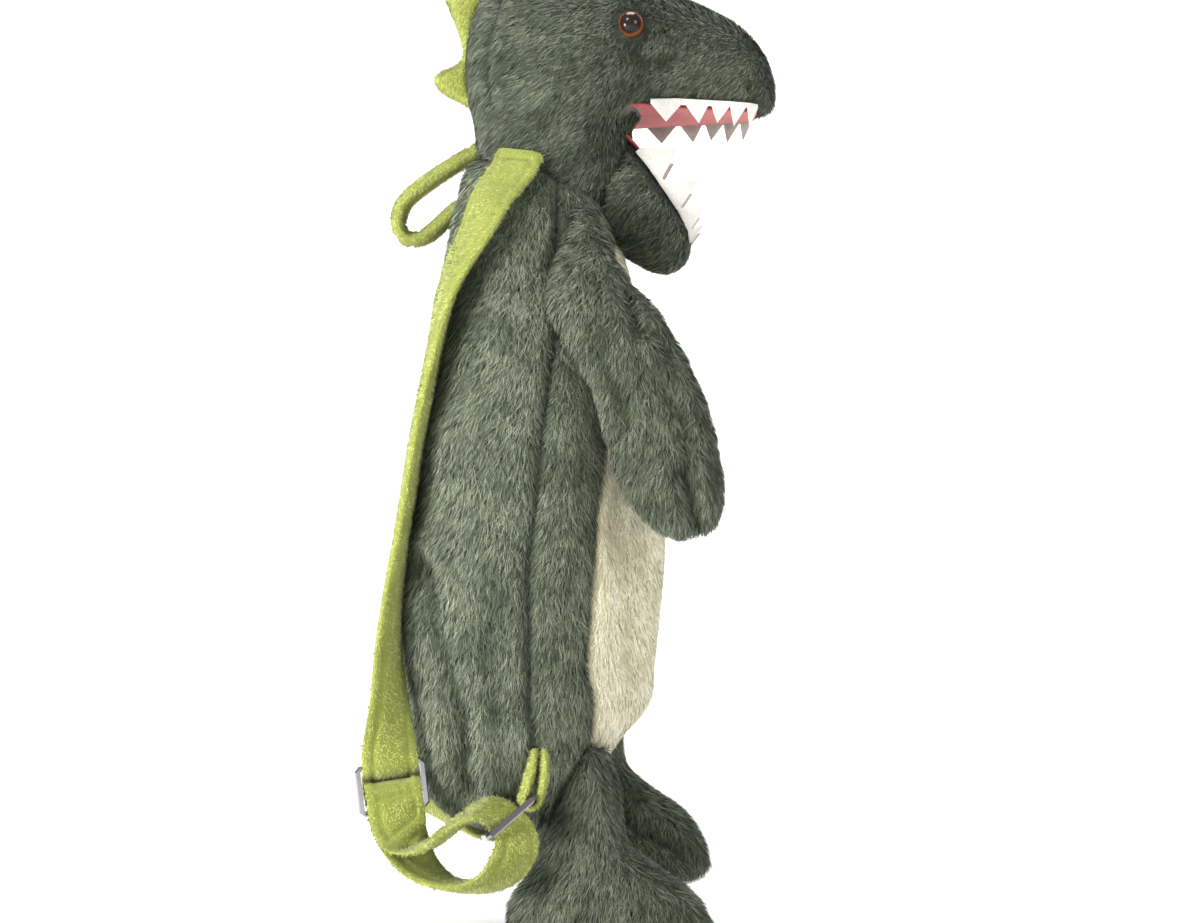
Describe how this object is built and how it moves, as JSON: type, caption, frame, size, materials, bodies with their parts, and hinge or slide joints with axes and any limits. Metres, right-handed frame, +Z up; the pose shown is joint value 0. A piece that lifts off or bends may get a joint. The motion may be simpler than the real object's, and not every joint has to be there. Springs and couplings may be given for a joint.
{
  "type": "kids animal backpack",
  "caption": "Plush dinosaur backpack for a child with an open felt-toothed mouth, spiked crest, hanging arms and legs, back zip, padded straps and a grab loop.",
  "frame": {"origin": "on the outer face of the back panel, midway across and level with the middle of the back, where the bag lies on the wearer's back", "axes": "+X forward from the back panel to the snout, +Y to the animal's left, +Z up"},
  "size_m": [0.2006, 0.1884, 0.5151],
  "materials": {
    "green_plush": "deep short-pile plush",
    "cream_plush": "short-pile plush",
    "lime_plush": "velour plush",
    "white_felt": "felt",
    "red_felt": "felt",
    "eye_gloss": "glossy",
    "chrome": "polished",
    "zip_dark": "matte"
  },
  "bodies": {
    "root": {"back_panel": "green_plush", "side_panel_right": "green_plush", "side_panel_left": "green_plush", "belly_panel": "cream_plush", "zip_chain": "zip_dark", "zip_slider": "chrome", "zip_pull": "chrome", "head": "green_plush", "lower_jaw": "green_plush", "mouth_lining": "red_felt", "crest": "lime_plush", "grab_loop": "lime_plush", "upper_teeth_right": "white_felt", "lower_teeth_right": "white_felt", "eye_right": "eye_gloss", "arm_right": "green_plush", "leg_right": "green_plush", "sole_right": "cream_plush", "strap_right": "lime_plush", "strap_slider_right": "chrome", "side_ring_right": "chrome", "ring_tab_right": "lime_plush", "upper_teeth_left": "white_felt", "lower_teeth_left": "white_felt", "eye_left": "eye_gloss", "arm_left": "green_plush", "leg_left": "green_plush", "sole_left": "cream_plush", "strap_left": "lime_plush", "strap_slider_left": "chrome", "side_ring_left": "chrome", "ring_tab_left": "lime_plush"}
  },
  "joints": []
}
